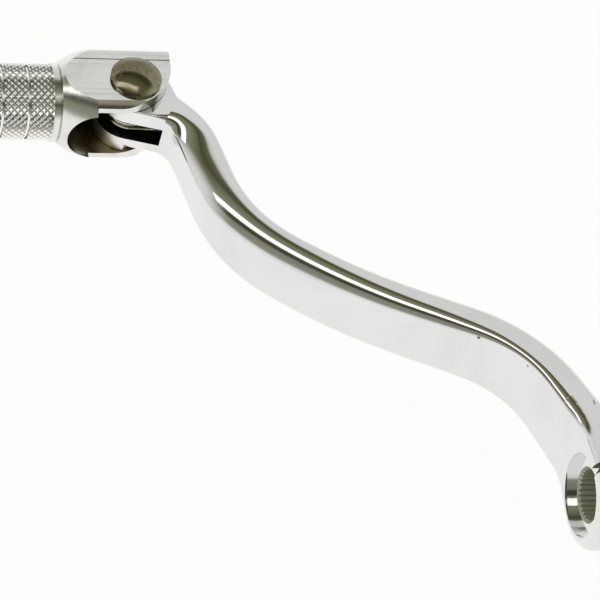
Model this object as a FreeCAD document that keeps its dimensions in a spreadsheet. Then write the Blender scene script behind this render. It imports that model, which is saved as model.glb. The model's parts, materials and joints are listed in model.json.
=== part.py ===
"""Motorcycle gear shift lever with a folding toe peg, in millimetres.

The origin is on the axis of the serrated bore, at the middle of the clamp boss. +X points forward,
from the gearbox shaft to the toe peg, +Y points outboard, along the bore and the peg, and +Z is up.
"""
import FreeCAD, Part
import math
import os
import Sketcher

Vector = FreeCAD.Vector

doc = FreeCAD.newDocument("gear_shift_lever")
sheet = doc.addObject("Spreadsheet::Sheet", "Sizes")

# Driving dimensions
SIZES = {
    # Place of the peg's pivot, from the bore
    "pivot_forward": 96.4,
    "pivot_outboard": 86.7,
    # Arm: one flat bar on edge, bent to an S in plan and growing in height towards the boss
    "arm_width": 7.25,
    "arm_edge_round": 2.4,
    "arm_front_round": 1.6,
    "arm_crown_round": 5.4,
    "arm_crown_start": 12.0,
    "arm_crown_end": 68.0,
    "arm_crown_fade_in": 9.5,
    "arm_taper_start": 14.4,
    "arm_taper_round": 60.0,
    "neck_x": 12.0,
    "neck_slope_angle": 8.7,
    "neck_round": 60.0,
    # Corners of the arm's front edge and the radii that round them
    "knuckle_front_back": 8.6,
    "knuckle_front_in": 15.6,
    "knuckle_front_round": 20.0,
    "knuckle_rear_in": 7.6,
    "knuckle_rear_round": 4.0,
    "upper_bend_x": 63.97,
    "upper_bend_y": 66.4,
    "upper_bend_round": 27.0,
    "bow_x": 49.32,
    "bow_y": 45.4,
    "bow_round": 122.0,
    "lower_bend_x": 34.5,
    "lower_bend_y": 10.8,
    "lower_bend_round": 35.5,
    "lower_rear_round": 22.0,
    # Shoulder where the arm runs into the boss
    "shoulder_x": 14.7,
    "shoulder_y": 2.0,
    "shoulder_round": 6.0,
    "shoulder_foot_x": 11.6,
    "shoulder_foot_round": 5.0,
    "boss_face_x": 9.5,
    "boss_face_round": 15.0,
    # Clamp boss
    "boss_radius": 11.0,
    "boss_width": 17.0,
    "bore_radius": 5.0,
    "bore_chamfer": 0.6,
    "counterbore_radius": 8.3,
    "counterbore_depth": 1.5,
    "serration_count": 30,
    "serration_depth": 0.45,
    "serration_width": 0.55,
    "slit_width": 2.0,
    "lug_length": 17.0,
    "lug_radius": 5.6,
    "lug_setback": 1.6,
    "lug_top_round": 5.0,
    # Pinch bolt
    "bolt_height": 9.7,
    "bolt_radius": 3.0,
    "bolt_clearance": 0.1,
    "bolt_length": 15.0,
    "bolt_hole_tip": 1.0,
    "bolt_point": 0.6,
    "bolt_flange_radius": 6.0,
    "bolt_flange_height": 1.3,
    "spot_face_margin": 0.4,
    "bolt_head_across": 10.0,
    "bolt_head_height": 5.0,
    # Eye of the arm
    "tongue_height": 12.6,
    "eye_radius": 6.6,
    "eye_edge_round": 0.4,
    "heel_length": 6.2,
    "heel_round": 0.8,
    "throat_back": 1.9,
    "throat_in": 9.4,
    "throat_round": 3.0,
    "tongue_rear_angle": 14.0,
    "tongue_root_in": 5.0,
    "tongue_edge_round": 1.3,
    "spring_slot_height": 5.0,
    "spring_slot_reach": 5.7,
    # Rivet
    "rivet_radius": 3.0,
    "rivet_running_clearance": 0.05,
    "rivet_seat_clearance": 0.03,
    "rivet_head_radius": 5.3,
    "rivet_brim": 0.6,
    "rivet_dome": 2.2,
    "rivet_foot_radius": 4.6,
    "rivet_foot_height": 1.6,
    # Toe peg, measured along its axis from the pivot
    "peg_axis_lead": 0.8,
    "fork_end": 7.8,
    "body_radius": 11.2,
    "body_end": 8.6,
    "cone_end": 15.2,
    "cone_end_radius": 8.4,
    "cone_round": 14.5,
    "collar_groove": 0.4,
    "collar_radius": 8.2,
    "collar_end": 16.8,
    "knurl_root_radius": 7.6,
    "band_length": 4.8,
    "band_groove": 0.6,
    "band_count": 6,
    "groove_depth": 0.25,
    "tip_chamfer": 0.8,
    "flat_height": 9.05,
    "flat_pass_width": 9.0,
    "flat_pass_depth": 0.15,
    "fork_slot": 13.0,
    "fork_slot_end": 13.8,
    "fork_slot_round": 6.4,
    "fork_stop_gap": 0.1,
    "fork_corner_round": 11.5,
    "fork_corner_reach": 7.2,
    "fork_corner_end": 8.4,
    # Return spring
    "spring_wire": 1.1,
    "spring_radius": 4.4,
    "spring_pitch": 1.25,
    "spring_full_turns": 2,
    "spring_leg_angle": 60.0,
    "spring_leg_in": 7.6,
    "spring_leg_gap": 0.1,
    "spring_hole_clearance": 0.2,
}

for row, (alias, value) in enumerate(SIZES.items(), start=1):
    sheet.set(f"A{row}", alias)
    sheet.set(f"B{row}", str(value))
    sheet.setAlias(f"B{row}", alias)
doc.recompute()


class Size:
    """A length that keeps its number and its formula in the sheet's cells together."""

    def __init__(self, value, text):
        self.value = value
        self.text = text

    def _join(self, other, sign, value):
        return Size(value, f"({self.text} {sign} {other.text})")

    def __add__(self, other):
        other = as_size(other)
        return self._join(other, "+", self.value + other.value)

    def __sub__(self, other):
        other = as_size(other)
        return self._join(other, "-", self.value - other.value)

    def __mul__(self, other):
        other = as_size(other)
        return self._join(other, "*", self.value * other.value)

    def __truediv__(self, other):
        other = as_size(other)
        return self._join(other, "/", self.value / other.value)

    def __neg__(self):
        return Size(-self.value, f"(0 - {self.text})")


def as_size(number):
    if isinstance(number, Size):
        return number
    return Size(number, f"({number:.9g})")


def sine(angle):
    """Sine of a size in degrees."""
    angle = as_size(angle)
    return Size(math.sin(math.radians(angle.value)), f"sin({angle.text} * 1 deg)")


def cosine(angle):
    """Cosine of a size in degrees."""
    angle = as_size(angle)
    return Size(math.cos(math.radians(angle.value)), f"cos({angle.text} * 1 deg)")


def size(alias):
    return Size(SIZES[alias], f"Sizes.{alias}")


ORIGIN_POINT = (-1, 1)


def bind(target, path, length):
    """Ties a property to its formula."""
    target.setExpression(path, as_size(length).text)


def origin_part(body, role):
    return next(item for item in body.Origin.OriginFeatures if item.Role == role)


def new_sketch(body, role, name, lift=None):
    """A sketch on one of the body's origin planes, lifted along the plane's normal."""
    sketch = body.newObject("Sketcher::SketchObject", name)
    sketch.AttachmentSupport = [(origin_part(body, role), "")]
    sketch.MapMode = "FlatFace"
    if lift is not None:
        bind(sketch, "AttachmentOffset.Base.z", lift)
    return sketch


def pin_point(sketch, geometry, end, x, y):
    """Dimensions one point from the sketch's origin."""
    for kind, length in (("DistanceX", as_size(x)), ("DistanceY", as_size(y))):
        index = sketch.addConstraint(Sketcher.Constraint(kind, *ORIGIN_POINT, geometry, end, length.value))
        bind(sketch, f"Constraints[{index}]", length)


def draw_circle(sketch, x, y, radius):
    x, y, radius = as_size(x), as_size(y), as_size(radius)
    circle = Part.Circle(Vector(x.value, y.value, 0), Vector(0, 0, 1), radius.value)
    index = sketch.addGeometry(circle, False)
    pin_point(sketch, index, 3, x, y)
    bound = sketch.addConstraint(Sketcher.Constraint("Radius", index, radius.value))
    bind(sketch, f"Constraints[{bound}]", radius)


def dome_arc(start, end, radius):
    """The arc of the given radius that bulges to the right of the run from start to end."""
    run = end - start
    inward = Vector(-run.y, run.x, 0).normalize()
    depth = math.sqrt(radius ** 2 - run.dot(run) / 4)
    centre = start + run * 0.5 + inward * depth
    first = math.atan2(start.y - centre.y, start.x - centre.x)
    last = math.atan2(end.y - centre.y, end.x - centre.x)
    return Part.ArcOfCircle(Part.Circle(centre, Vector(0, 0, 1), radius), first, last)


def draw_outline(sketch, corners, domes=None):
    """A closed outline through corners (x, y, rounding), where a rounding of None stays sharp.

    domes gives the runs, by the number of their first corner, that bulge out as arcs of a radius.
    """
    domes = domes or {}
    corners = [(as_size(x), as_size(y), None if r is None else as_size(r)) for x, y, r in corners]
    points = [Vector(x.value, y.value, 0) for x, y, r in corners]
    count = len(points)
    entries, exits, arcs = [], [], []
    for i, (x, y, r) in enumerate(corners):
        here, before, after = points[i], points[i - 1], points[(i + 1) % count]
        back = (before - here).normalize()
        ahead = (after - here).normalize()
        if r is None:
            entries.append(here)
            exits.append(here)
            arcs.append(None)
            continue
        half = back.getAngle(ahead) / 2
        cut = r.value / math.tan(half)
        centre = here + (back + ahead).normalize() * (r.value / math.sin(half))
        entries.append(here + back * cut)
        exits.append(here + ahead * cut)
        left_turn = back.cross(ahead).z < 0
        arcs.append((centre, r, left_turn))
    lines = []
    for i in range(count):
        start, end = exits[i], entries[(i + 1) % count]
        run = dome_arc(start, end, domes[i].value) if i in domes else Part.LineSegment(start, end)
        lines.append(sketch.addGeometry(run, False))
    for i, radius in domes.items():
        bound = sketch.addConstraint(Sketcher.Constraint("Radius", lines[i], radius.value))
        bind(sketch, f"Constraints[{bound}]", radius)
    for i, (x, y, r) in enumerate(corners):
        line_in, line_out = lines[i - 1], lines[i]
        if r is None:
            sketch.addConstraint(Sketcher.Constraint("Coincident", line_in, 2, line_out, 1))
            pin_point(sketch, line_out, 1, x, y)
            continue
        centre, r, left_turn = arcs[i]
        first, last = (entries[i], exits[i]) if left_turn else (exits[i], entries[i])
        start = math.atan2(first.y - centre.y, first.x - centre.x)
        stop = math.atan2(last.y - centre.y, last.x - centre.x)
        circle = Part.Circle(centre, Vector(0, 0, 1), r.value)
        arc = sketch.addGeometry(Part.ArcOfCircle(circle, start, stop), False)
        end_in, end_out = (1, 2) if left_turn else (2, 1)
        corner = sketch.addGeometry(Part.Point(points[i]), True)
        pin_point(sketch, corner, 1, x, y)
        sketch.addConstraint(Sketcher.Constraint("PointOnObject", corner, 1, line_in))
        sketch.addConstraint(Sketcher.Constraint("PointOnObject", corner, 1, line_out))
        sketch.addConstraint(Sketcher.Constraint("Tangent", line_in, 2, arc, end_in))
        sketch.addConstraint(Sketcher.Constraint("Tangent", arc, end_out, line_out, 1))
        bound = sketch.addConstraint(Sketcher.Constraint("Radius", arc, r.value))
        bind(sketch, f"Constraints[{bound}]", r)


def pad(body, sketch, name, length, symmetric=True):
    feature = body.newObject("PartDesign::Pad", name)
    feature.Profile = sketch
    feature.SideType = "Symmetric" if symmetric else "One side"
    bind(feature, "Length", length)
    doc.recompute()
    return feature


def pocket(body, sketch, name, reversed_cut=False, both_ways=False, length=None):
    """A cut through the whole solid, or of the given length, that has to take metal away."""
    before = body.Shape.Volume
    feature = body.newObject("PartDesign::Pocket", name)
    feature.Profile = sketch
    feature.Type = "ThroughAll" if length is None else "Length"
    feature.SideType = "Symmetric" if both_ways else "One side"
    feature.Reversed = reversed_cut
    if length is not None:
        bind(feature, "Length", length)
    doc.recompute()
    if body.Shape.Volume >= before:
        raise RuntimeError(f"{name} cuts nothing")
    return feature


def revolve(body, sketch, name, kind, axis="V_Axis"):
    feature = body.newObject(f"PartDesign::{kind}", name)
    feature.Profile = sketch
    feature.ReferenceAxis = (sketch, [axis])
    feature.Angle = 360
    doc.recompute()
    return feature


def mitre(before, here, after, distance):
    """The point that lies the distance to the left of both runs of a bent line."""
    run_in = Vector(here[0].value - before[0].value, here[1].value - before[1].value, 0).normalize()
    run_out = Vector(after[0].value - here[0].value, after[1].value - here[1].value, 0).normalize()
    side = Vector(-run_in.y, run_in.x, 0) + Vector(-run_out.y, run_out.x, 0)
    side = side * (2 / side.dot(side))
    return here[0] + distance * side.x, here[1] + distance * side.y


# Values that several pieces share
pivot_x = size("pivot_forward")
pivot_y = size("pivot_outboard")
half_boss = size("boss_width") / 2
half_tongue = size("tongue_height") / 2
stop_face = size("eye_radius") + size("fork_stop_gap")
eye_lip = size("eye_radius") * sine(size("tongue_rear_angle")) * -0.75
lug_half = size("lug_length") / 2
lug_y = half_boss - size("arm_edge_round") - size("lug_setback") - size("lug_radius")
spring_wire_radius = size("spring_wire") / 2
spring_turns = size("spring_full_turns") + size("spring_leg_angle") / 360
spring_rise = size("spring_pitch") / (size("spring_radius") * (2 * math.pi))


def tongue_rear(inward):
    """The point of the tongue's rear side at a distance inboard of the pivot."""
    slope = size("tongue_rear_angle")
    back = (size("eye_radius") + inward * sine(slope)) / cosine(slope)
    return pivot_x - back, pivot_y - inward


def upright(face):
    surface = face.Surface
    if isinstance(surface, Part.Plane):
        return abs(surface.Axis.z) < 1e-6
    return isinstance(surface, Part.Cylinder) and abs(surface.Axis.z) > 0.999


def graded(place, stops):
    """The amount at a place between the stops (place, amount), level before the first and after the last."""
    for (first, amount), (last, next_amount) in zip(stops, stops[1:]):
        if place < last:
            return amount + (next_amount - amount) * max(place - first, 0) / (last - first)
    return stops[-1][1]


def edge_rounds(solid, crowned):
    """The edges where a wall meets the top or the underside, each with its radius at both ends: the
    crowned upper rear ones, or all the others. A radius follows the distance inboard of the pivot."""
    plain, crown = SIZES["arm_edge_round"], SIZES["arm_crown_round"]
    at_eye, at_root = SIZES["eye_edge_round"], SIZES["tongue_edge_round"]
    outboard = SIZES["pivot_outboard"]
    fade_in = SIZES["arm_crown_fade_in"]
    crown_in, plain_in = outboard - SIZES["arm_crown_end"], outboard - SIZES["arm_crown_start"]
    front_stops = [(SIZES["heel_length"], at_eye), (SIZES["throat_in"], at_root),
                   (crown_in, SIZES["arm_front_round"]), (plain_in, plain)]
    tongue_stops = [(eye_lip.value, at_eye), (SIZES["tongue_root_in"], at_root)]
    rear_stops = tongue_stops + [(fade_in, plain)]
    crown_stops = tongue_stops + [(fade_in, crown), (crown_in, crown), (plain_in, plain)]
    edges = []
    for number, edge in enumerate(solid.Edges, start=1):
        faces = solid.ancestorsOfType(edge, Part.Face)
        walls = [face for face in faces if upright(face)]
        if len(faces) != 2 or len(walls) != 1:
            continue
        outward = walls[0].normalAt(*walls[0].Surface.parameter(edge.CenterOfMass))
        rear = outward.x < 0
        blank_end = min(outward.x, outward.y) > 0.1
        if blank_end or (rear and edge.CenterOfMass.z > 0) != crowned:
            continue
        stops = crown_stops if crowned else rear_stops if rear else front_stops
        ends = (edge.firstVertex().Point, edge.lastVertex().Point)
        edges.append((number, *[graded(outboard - end.y, stops) for end in ends]))
    return edges


def mirror_cut(body, feature, name):
    """The same cut on the other side of the level middle plane."""
    twin = body.newObject("PartDesign::Mirrored", name)
    twin.Originals = [feature]
    twin.MirrorPlane = (origin_part(body, "XY_Plane"), [""])
    body.Tip = twin
    doc.recompute()
    return twin


def build_lever_arm():
    body = doc.addObject("PartDesign::Body", "ArmForging")
    width = size("arm_width")
    boss = size("boss_radius")
    beyond_boss = -(boss * 1.2)
    heel_x = pivot_x + size("eye_radius")
    blank_front = (heel_x, pivot_y - size("heel_length") / 2)
    blank_rear = tongue_rear(eye_lip)
    throat = (pivot_x - size("throat_back"), pivot_y - size("throat_in"))
    knuckle = (pivot_x - size("knuckle_front_back"), pivot_y - size("knuckle_front_in"))
    rear_knuckle = tongue_rear(size("knuckle_rear_in"))

    # The arm in plan: its front edge, and its rear edge one arm width behind it
    upper = (size("upper_bend_x"), size("upper_bend_y"))
    bow = (size("bow_x"), size("bow_y"))
    lower = (size("lower_bend_x"), size("lower_bend_y"))
    shoulder = (size("shoulder_x"), size("shoulder_y"))
    plan = new_sketch(body, "XY_Plane", "ArmPlan")
    draw_outline(plan, [
        (*blank_front, None),
        (heel_x, pivot_y - size("heel_length"), size("heel_round")),
        (*throat, size("throat_round")),
        (*knuckle, size("knuckle_front_round")),
        (*upper, size("upper_bend_round")),
        (*bow, size("bow_round")),
        (*lower, size("lower_bend_round")),
        (*shoulder, size("shoulder_round")),
        (size("shoulder_foot_x"), -half_boss, size("shoulder_foot_round")),
        (beyond_boss, -half_boss, None),
        (beyond_boss, half_boss, None),
        (size("boss_face_x"), half_boss, size("boss_face_round")),
        (*mitre(shoulder, lower, bow, width), size("lower_rear_round")),
        (*mitre(lower, bow, upper, width), size("bow_round") + width),
        (*mitre(bow, upper, knuckle, width), size("upper_bend_round") + width),
        (*rear_knuckle, size("knuckle_rear_round")),
        (*blank_rear, None),
    ])
    pad(body, plan, "ArmBlank", boss * 2.4)

    # The arm from the side: level over the tongue, then rising to run onto the round boss
    slope = size("neck_slope_angle")
    wrap_angle = 10
    wrap_length = boss * 0.2
    wrap = as_size(180 + wrap_angle)
    corner_angle = (wrap + 90 - slope) / 2
    corner_reach = boss / cosine((wrap - 90 + slope) / 2)
    wrap_end = boss * sine(wrap) + wrap_length * cosine(wrap)
    above = boss * 1.4
    ahead = pivot_x + size("eye_radius") * 2
    side = new_sketch(body, "XZ_Plane", "ArmSide")
    draw_outline(side, [
        (ahead, half_tongue, None),
        (pivot_x - size("arm_taper_start"), half_tongue, size("arm_taper_round")),
        (size("neck_x"), (boss - size("neck_x") * sine(slope)) / cosine(slope), size("neck_round")),
        (corner_reach * cosine(corner_angle), corner_reach * sine(corner_angle), boss),
        (boss * cosine(wrap) - wrap_length * sine(wrap), wrap_end, None),
        (beyond_boss * 1.2, wrap_end, None),
        (beyond_boss * 1.2, above, None),
        (ahead, above, None),
    ])
    top_cut = pocket(body, side, "ArmTop", both_ways=True)
    mirror_cut(body, top_cut, "ArmUnderside")

    # Edges rounded all round. The upper rear one opens out towards the knuckle, and all run out at the eye.
    rounded = body
    for name, crowned in (("CrownedEdges", True), ("PlainEdges", False)):
        sharp = rounded
        rounded = doc.addObject("Part::Fillet", name)
        rounded.Base = sharp
        rounded.Edges = edge_rounds(sharp.Shape, crowned)
        doc.recompute()
    body = doc.addObject("PartDesign::Body", "LeverArm")
    body.Label = "lever_arm"
    body.BaseFeature = rounded
    doc.recompute()

    # The eye that ends the tongue, and above its heel the flat front that the fork stops on
    rear_angle = size("tongue_rear_angle")
    eye_corner_angle = (as_size(180) - rear_angle) / 2
    eye_corner_reach = size("eye_radius") / cosine(eye_corner_angle)
    eye_corner = (pivot_x + eye_corner_reach * cosine(eye_corner_angle),
                  pivot_y + eye_corner_reach * sine(eye_corner_angle))
    eye_end = new_sketch(body, "XY_Plane", "EyePlan")
    draw_outline(eye_end, [
        (*blank_front, None),
        (pivot_x, pivot_y - size("heel_length"), None),
        (*blank_rear, None),
        (*eye_corner, size("eye_radius")),
    ])
    pad(body, eye_end, "EyeEnd", size("tongue_height"))

    # Slot for the return spring, the hole for its inner leg, and the rivet's hole
    slot_half = size("spring_slot_height") / 2
    slot_end = pivot_y - size("spring_slot_reach")
    slot_mouth = pivot_y + size("eye_radius") * 1.5
    slot = new_sketch(body, "YZ_Plane", "SpringSlotSketch")
    draw_outline(slot, [
        (slot_end, -slot_half, None),
        (slot_mouth, -slot_half, None),
        (slot_mouth, slot_half, None),
        (slot_end, slot_half, None),
    ])
    pocket(body, slot, "SpringSlot", both_ways=True)
    leg_drop = spring_turns * size("spring_pitch") / 2 + spring_rise * size("spring_leg_in")
    leg_hole = new_sketch(body, "XZ_Plane", "SpringLegSketch", lift=-slot_end)
    leg_hole_radius = spring_wire_radius + size("spring_hole_clearance")
    draw_circle(leg_hole, pivot_x - size("spring_radius"), -leg_drop, leg_hole_radius)
    leg_depth = size("spring_leg_in") - size("spring_slot_reach") + size("spring_hole_clearance")
    pocket(body, leg_hole, "SpringLegHole", reversed_cut=True, length=leg_depth)
    eye = new_sketch(body, "XY_Plane", "EyeSketch")
    draw_circle(eye, pivot_x, pivot_y, size("rivet_radius") + size("rivet_running_clearance"))
    pocket(body, eye, "EyeHole", both_ways=True)

    # Clamp lug over the boss
    lug_side = size("lug_radius")
    lug_top = size("bolt_height") + lug_side
    lug = new_sketch(body, "YZ_Plane", "LugSketch")
    draw_outline(lug, [
        (lug_y - lug_side, 0, None),
        (lug_y + lug_side, 0, None),
        (lug_y + lug_side, lug_top, size("lug_top_round")),
        (lug_y - lug_side, lug_top, size("lug_top_round")),
    ])
    pad(body, lug, "ClampLug", size("lug_length"))

    # Counterbore, chamfered bore and its serrations
    bore = size("bore_radius")
    bore_mouth = bore + size("bore_chamfer")
    floor_y = half_boss - size("counterbore_depth")
    clear_of_arm = half_boss + boss
    bore_profile = new_sketch(body, "XY_Plane", "BoreProfile")
    draw_outline(bore_profile, [
        (0, -half_boss * 1.2, None),
        (bore_mouth, -half_boss * 1.2, None),
        (bore_mouth, -half_boss, None),
        (bore, -half_boss + size("bore_chamfer"), None),
        (bore, floor_y - size("bore_chamfer"), None),
        (bore_mouth, floor_y, None),
        (size("counterbore_radius"), floor_y, None),
        (size("counterbore_radius"), clear_of_arm, None),
        (0, clear_of_arm, None),
    ])
    revolve(body, bore_profile, "Bore", "Groove")
    notch_half = size("serration_width") / 2
    notch = new_sketch(body, "XZ_Plane", "SerrationSketch")
    draw_outline(notch, [
        (-bore + size("serration_depth"), -notch_half, None),
        (-bore + size("serration_depth"), notch_half, None),
        (-bore, notch_half, None),
        (-bore - size("serration_depth"), 0, None),
        (-bore, -notch_half, None),
    ])
    first_notch = pocket(body, notch, "Serration", both_ways=True)
    ring = body.newObject("PartDesign::PolarPattern", "Serrations")
    ring.Originals = [first_notch]
    ring.Axis = (origin_part(body, "Y_Axis"), [""])
    ring.Angle = 360
    bind(ring, "Occurrences", size("serration_count"))
    body.Tip = ring
    doc.recompute()

    # Slit from the bore up through the lug, the pinch bolt's blind hole and the seat of its head
    slit_half = size("slit_width") / 2
    slit = new_sketch(body, "XZ_Plane", "SlitSketch")
    draw_outline(slit, [
        (-slit_half, bore / 2, None),
        (slit_half, bore / 2, None),
        (slit_half, lug_top * 1.2, None),
        (-slit_half, lug_top * 1.2, None),
    ])
    pocket(body, slit, "ClampSlit", both_ways=True)
    bolt_hole = new_sketch(body, "YZ_Plane", "BoltHoleSketch", lift=lug_half - size("bolt_hole_tip"))
    draw_circle(bolt_hole, lug_y, size("bolt_height"), size("bolt_radius") + size("bolt_clearance"))
    pocket(body, bolt_hole, "BoltHole")
    spot_face = new_sketch(body, "YZ_Plane", "SpotFaceSketch", lift=-lug_half)
    spot_radius = size("bolt_flange_radius") + size("spot_face_margin")
    draw_circle(spot_face, lug_y, size("bolt_height"), spot_radius)
    pocket(body, spot_face, "SpotFace")
    return body


def build_toe_peg():
    body = doc.addObject("PartDesign::Body", "ToePeg")
    body.Label = "toe_peg"
    bind(body, "Placement.Base.x", pivot_x + size("peg_axis_lead"))
    bind(body, "Placement.Base.y", pivot_y)
    pitch = size("band_length") + size("band_groove")
    tip = size("collar_end") + pitch * size("band_count") - size("band_groove")
    root = size("knurl_root_radius")
    radius = size("body_radius")

    # Turned blank: body, bellied cone, collar and the bar that carries the knurled bands
    turned = new_sketch(body, "XY_Plane", "TurnedProfile")
    draw_outline(turned, [
        (0, -size("fork_end"), None),
        (radius, -size("fork_end"), None),
        (radius, size("body_end"), None),
        (size("cone_end_radius"), size("cone_end"), None),
        (size("collar_radius") - size("collar_groove"), size("cone_end"), None),
        (size("collar_radius"), size("cone_end") + size("collar_groove"), None),
        (size("collar_radius"), size("collar_end"), None),
        (root, size("collar_end"), None),
        (root, tip - size("tip_chamfer"), None),
        (root - size("tip_chamfer"), tip, None),
        (0, tip, None),
    ], domes={2: size("cone_round")})
    revolve(body, turned, "TurnedBlank", "Revolution")

    # Plain grooves between the bands
    first_groove = size("collar_end") + size("band_length")
    groove = new_sketch(body, "XY_Plane", "BandGrooveProfile")
    draw_outline(groove, [
        (root - size("groove_depth"), first_groove, None),
        (root + size("groove_depth"), first_groove, None),
        (root + size("groove_depth"), first_groove + size("band_groove"), None),
        (root - size("groove_depth"), first_groove + size("band_groove"), None),
    ])
    cut = revolve(body, groove, "BandGroove", "Groove")
    row_of_grooves = body.newObject("PartDesign::LinearPattern", "BandGrooves")
    row_of_grooves.Originals = [cut]
    row_of_grooves.Direction = (origin_part(body, "Y_Axis"), [""])
    bind(row_of_grooves, "Length", pitch * (size("band_count") - 2))
    bind(row_of_grooves, "Occurrences", size("band_count") - 1)
    body.Tip = row_of_grooves
    doc.recompute()

    # Milled flats that the rivet's heads sit on
    flat = new_sketch(body, "XZ_Plane", "FlatSketch")
    draw_outline(flat, [
        (-radius * 1.2, size("flat_height"), None),
        (radius * 1.2, size("flat_height"), None),
        (radius * 1.2, radius * 1.2, None),
        (-radius * 1.2, radius * 1.2, None),
    ])
    mirror_cut(body, pocket(body, flat, "UpperFlat", both_ways=True), "LowerFlat")
    pass_half = size("flat_pass_width") / 2
    pass_floor = size("flat_height") - size("flat_pass_depth")
    last_pass = new_sketch(body, "XZ_Plane", "FlatPassSketch")
    draw_outline(last_pass, [
        (-pass_half, pass_floor, None),
        (pass_half, pass_floor, None),
        (pass_half, radius * 1.2, None),
        (-pass_half, radius * 1.2, None),
    ])
    mirror_cut(body, pocket(body, last_pass, "UpperFlatPass", both_ways=True), "LowerFlatPass")

    # Fork slot, milled from the rear as far as the wall that stops on the arm's heel
    slot_half = size("fork_slot") / 2
    slot = new_sketch(body, "YZ_Plane", "ForkSlotSketch", lift=stop_face - size("peg_axis_lead"))
    draw_outline(slot, [
        (-size("fork_end") * 1.5, -slot_half, None),
        (size("fork_slot_end"), -slot_half, size("fork_slot_round")),
        (size("fork_slot_end"), slot_half, size("fork_slot_round")),
        (-size("fork_end") * 1.5, slot_half, None),
    ])
    pocket(body, slot, "ForkSlot")

    # Rear inner corner of both ears, rounded so that the peg can fold back
    reach = size("fork_corner_reach") + size("peg_axis_lead")
    clear = radius * 2
    corner_end = size("fork_corner_end")
    corner = new_sketch(body, "XY_Plane", "ForkCornerSketch")
    draw_outline(corner, [
        (clear, -size("fork_end"), None),
        (-reach, -size("fork_end"), size("fork_corner_round")),
        (-reach, corner_end, None),
        (-clear, corner_end, None),
        (-clear, -clear, None),
        (clear, -clear, None),
    ])
    pocket(body, corner, "ForkCorner", both_ways=True)
    rivet_seat = new_sketch(body, "XY_Plane", "RivetSeatSketch")
    draw_circle(rivet_seat, -size("peg_axis_lead"), 0, size("rivet_radius") + size("rivet_seat_clearance"))
    pocket(body, rivet_seat, "RivetSeat", both_ways=True)
    return body


def build_pivot_rivet():
    body = doc.addObject("PartDesign::Body", "PivotRivet")
    body.Label = "pivot_rivet"
    bind(body, "Placement.Base.x", pivot_x)
    bind(body, "Placement.Base.y", pivot_y)
    flat = size("flat_height")
    head = size("rivet_head_radius")
    foot = size("rivet_foot_radius")
    dome = size("rivet_dome")
    dome_radius = (head * head + dome * dome) / (dome * 2)
    foot_height = size("rivet_foot_height")
    foot_radius = (foot * foot + foot_height * foot_height) / (foot_height * 2)
    profile = new_sketch(body, "XZ_Plane", "RivetProfile")
    draw_outline(profile, [
        (0, -flat - foot_height, None),
        (foot, -flat, None),
        (size("rivet_radius"), -flat, None),
        (size("rivet_radius"), flat, None),
        (head, flat, None),
        (head, flat + size("rivet_brim"), None),
        (0, flat + size("rivet_brim") + dome, None),
    ], domes={0: foot_radius, 5: dome_radius})
    revolve(body, profile, "RivetTurning", "Revolution")
    return body


def build_return_spring():
    """Torsion spring wound round the rivet, with its inner leg in the arm and its outer leg on the fork."""
    radius = size("spring_radius").value
    pitch = size("spring_pitch").value
    wire = size("spring_wire").value
    turns = spring_turns.value
    half_rise = turns * pitch / 2
    coil = Part.makeHelix(pitch, turns * pitch, radius, 0, True)
    coil.rotate(Vector(0, 0, 0), Vector(0, 0, 1), 180)
    coil.translate(Vector(0, 0, -half_rise))
    end_angle = math.radians(180 - size("spring_leg_angle").value)
    slope = spring_rise.value
    inner_bend = Vector(-radius, 0, -half_rise)
    inner_run = Vector(0, -1, -slope)
    inner_tip = inner_bend + inner_run * size("spring_leg_in").value
    outer_bend = Vector(radius * math.cos(end_angle), radius * math.sin(end_angle), half_rise)
    outer_run = Vector(math.sin(end_angle), -math.cos(end_angle), slope)
    wall_x = stop_face.value - size("spring_leg_gap").value - wire / 2
    outer_tip = outer_bend + outer_run * ((wall_x - outer_bend.x) / outer_run.x)
    path = Part.Wire([
        Part.LineSegment(inner_tip, inner_bend).toShape(),
        *coil.Edges,
        Part.LineSegment(outer_bend, outer_tip).toShape(),
    ])
    section = Part.Wire(Part.Circle(inner_tip, inner_run, wire / 2).toShape())
    spring = doc.addObject("Part::Feature", "ReturnSpring")
    spring.Label = "return_spring"
    spring.Shape = path.makePipeShell([section], True, True)
    spring.Placement = FreeCAD.Placement(Vector(pivot_x.value, pivot_y.value, 0), FreeCAD.Rotation())
    return spring


def build_pinch_bolt():
    """Flanged hexagon bolt. Its own axis runs from under the head to the point."""
    body = doc.addObject("PartDesign::Body", "PinchBolt")
    body.Label = "pinch_bolt"
    along_x = FreeCAD.Rotation(Vector(0, 1, 0), 90)
    body.Placement = FreeCAD.Placement(Vector(0, 0, 0), along_x)
    bind(body, "Placement.Base.x", -lug_half)
    bind(body, "Placement.Base.y", lug_y)
    bind(body, "Placement.Base.z", size("bolt_height"))
    radius = size("bolt_radius")
    length = size("bolt_length")
    point = size("bolt_point")
    hex_radius = size("bolt_head_across") / math.sqrt(3)
    profile = new_sketch(body, "XZ_Plane", "BoltProfile")
    draw_outline(profile, [
        (0, -size("bolt_flange_height") * 2, None),
        (hex_radius * 0.8, -size("bolt_flange_height") * 2, None),
        (size("bolt_flange_radius"), -size("bolt_flange_height") / 2, None),
        (size("bolt_flange_radius"), 0, None),
        (radius, 0, None),
        (radius, length - point, None),
        (radius - point, length, None),
        (0, length, None),
    ])
    revolve(body, profile, "BoltTurning", "Revolution")
    head = new_sketch(body, "XY_Plane", "BoltHeadSketch")
    sides = 6
    angles = [2 * math.pi * (side + 0.5) / sides for side in range(sides)]
    draw_outline(head, [(hex_radius * math.cos(a), hex_radius * math.sin(a), None) for a in angles])
    hexagon = pad(body, head, "BoltHead", size("bolt_head_height"), symmetric=False)
    hexagon.Reversed = True
    doc.recompute()
    return body


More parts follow.
